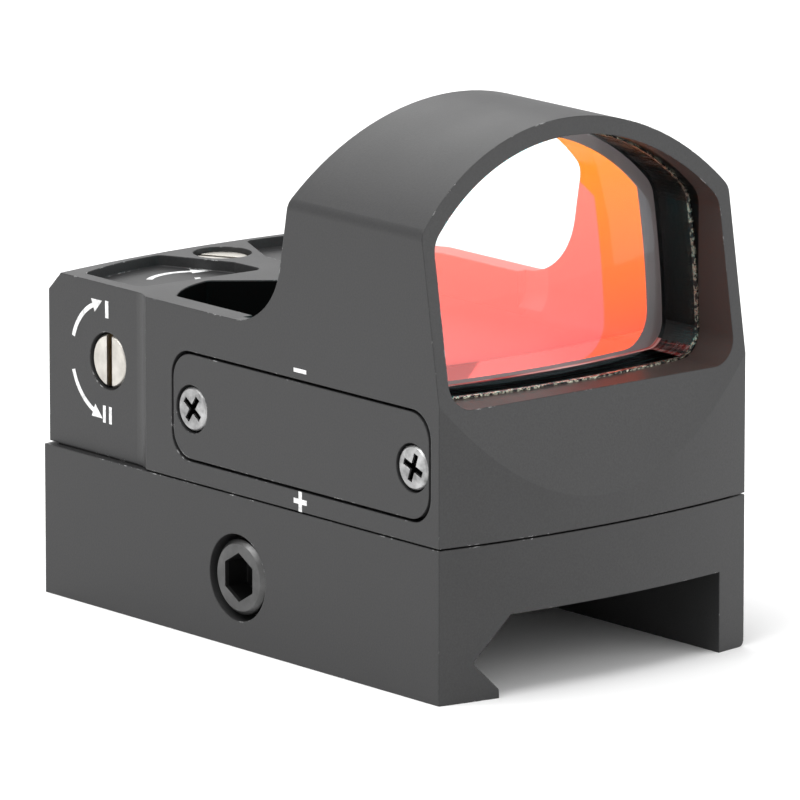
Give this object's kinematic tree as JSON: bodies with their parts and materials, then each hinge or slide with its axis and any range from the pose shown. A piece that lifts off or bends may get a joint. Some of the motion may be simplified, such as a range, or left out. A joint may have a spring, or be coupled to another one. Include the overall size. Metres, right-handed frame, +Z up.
{
  "type": "red dot finder",
  "caption": "Compact reflex sight with a hooded tilted lens, side battery door, windage and elevation screws, and a cross-bolt rail clamp.",
  "frame": {"origin": "middle of the underside of the clamp base", "axes": "+Z up, -Y towards the target through the hooded lens, -X towards the battery door, the windage screw and the bolt head"},
  "size_m": [0.028, 0.0472, 0.0393],
  "materials": {
    "black_anodised": "bead-blasted, black anodised",
    "black_steel": "black oxide",
    "grey_steel": "dark zinc",
    "bright_steel": "machined",
    "coated_glass": "red reflecting coating",
    "clear_glass": "polished",
    "lens_adhesive": "cured bead",
    "black_rubber": "moulded",
    "black_plastic": "moulded",
    "brass_works": "machined",
    "cell_steel": "plated",
    "contact_metal": "plated spring strip",
    "board_laminate": "solder mask",
    "chip_epoxy": "moulded epoxy",
    "emitter_epoxy": "clear red epoxy"
  },
  "bodies": {
    "housing": {"optic_housing": "black_anodised", "mount_base": "black_anodised", "base_screws": "black_steel", "objective_lens": "coated_glass", "emitter_window": "clear_glass", "lens_bond": "lens_adhesive", "locating_pins": "bright_steel", "carriage_guide_pins": "bright_steel", "windage_spring": "bright_steel", "elevation_spring": "bright_steel", "windage_o_ring": "black_rubber", "elevation_o_ring": "black_rubber", "base_seal": "black_rubber", "battery_tray": "black_plastic", "button_bezel": "black_plastic", "positive_contact": "contact_metal", "negative_contact": "contact_metal", "circuit_board": "board_laminate", "driver_chip": "chip_epoxy", "tact_switches": "chip_epoxy"},
    "clamp_bolt": {"clamp_bolt": "black_steel"},
    "clamp_jaw": {"clamp_jaw": "black_steel"},
    "battery_door": {"battery_door": "black_anodised", "door_gasket": "black_rubber"},
    "door_screw_front": {"door_screw_front": "grey_steel"},
    "door_screw_rear": {"door_screw_rear": "grey_steel"},
    "battery": {"battery": "cell_steel"},
    "windage_screw": {"windage_screw": "bright_steel", "windage_clip": "bright_steel"},
    "windage_nut": {"windage_nut": "brass_works"},
    "elevation_screw": {"elevation_screw": "bright_steel", "elevation_clip": "bright_steel"},
    "elevation_carriage": {"elevation_carriage": "brass_works"},
    "emitter_holder": {"emitter_holder": "black_plastic", "led_emitter": "emitter_epoxy"},
    "brightness_up": {"brightness_up_button": "black_rubber"},
    "brightness_down": {"brightness_down_button": "black_rubber"}
  },
  "joints": [
    {"name": "clamp_bolt_turn", "type": "hinge", "parent": "housing", "child": "clamp_bolt", "pos_m": [0, 0, 0.0051], "axis": [-1, 0, 0], "range_deg": [0, 1028.57]},
    {"name": "clamp_jaw_slide", "type": "slide", "parent": "housing", "child": "clamp_jaw", "axis": [1, 0, 0], "range_m": [0, 0.002]},
    {"name": "battery_door_pull", "type": "slide", "parent": "housing", "child": "battery_door", "axis": [-1, 0, 0], "range_m": [0, 0.025]},
    {"name": "battery_pull", "type": "slide", "parent": "housing", "child": "battery", "axis": [-1, 0, 0], "range_m": [0, 0.0225]},
    {"name": "door_screw_front_turn", "type": "hinge", "parent": "battery_door", "child": "door_screw_front", "pos_m": [-0.014, -0.01936, 0.0164], "axis": [1, 0, 0], "continuous": true},
    {"name": "door_screw_rear_turn", "type": "hinge", "parent": "battery_door", "child": "door_screw_rear", "pos_m": [-0.014, 0.00514, 0.0164], "axis": [1, 0, 0], "continuous": true},
    {"name": "windage_turn", "type": "hinge", "parent": "housing", "child": "windage_screw", "pos_m": [-0.013, 0.01546, 0.0181], "axis": [1, 0, 0], "range_deg": [-450, 450]},
    {"name": "windage_nut_slide", "type": "slide", "parent": "housing", "child": "windage_nut", "axis": [-1, 0, 0], "range_m": [-0.0005, 0.0005], "deforming": ["windage_spring"]},
    {"name": "elevation_turn", "type": "hinge", "parent": "housing", "child": "elevation_screw", "pos_m": [0, 0.0192, 0.02], "axis": [0, 0, -1], "range_deg": [-450, 450]},
    {"name": "elevation_slide", "type": "slide", "parent": "housing", "child": "elevation_carriage", "axis": [0, 0, 1], "range_m": [-0.0005, 0.0005], "deforming": ["elevation_spring"]},
    {"name": "emitter_slide", "type": "slide", "parent": "elevation_carriage", "child": "emitter_holder", "axis": [-1, 0, 0], "range_m": [-0.0005, 0.0005]},
    {"name": "brightness_up_press", "type": "slide", "parent": "housing", "child": "brightness_up", "axis": [-1, 0, 0], "range_m": [0, 0.00035], "stiffness_N_per_m": 1500, "springref_m": -0.0002},
    {"name": "brightness_down_press", "type": "slide", "parent": "housing", "child": "brightness_down", "axis": [-1, 0, 0], "range_m": [0, 0.00035], "stiffness_N_per_m": 1500, "springref_m": -0.0002}
  ],
  "couplings": [
    {"joint": "clamp_bolt_turn", "follows": "clamp_jaw_slide", "rad_per_m": 8971.5},
    {"joint": "battery_pull", "follows": "battery_door_pull", "ratio": 0.9},
    {"joint": "windage_turn", "follows": "windage_nut_slide", "rad_per_m": 15700},
    {"joint": "emitter_slide", "follows": "windage_nut_slide", "ratio": 1},
    {"joint": "elevation_turn", "follows": "elevation_slide", "rad_per_m": 15700}
  ]
}
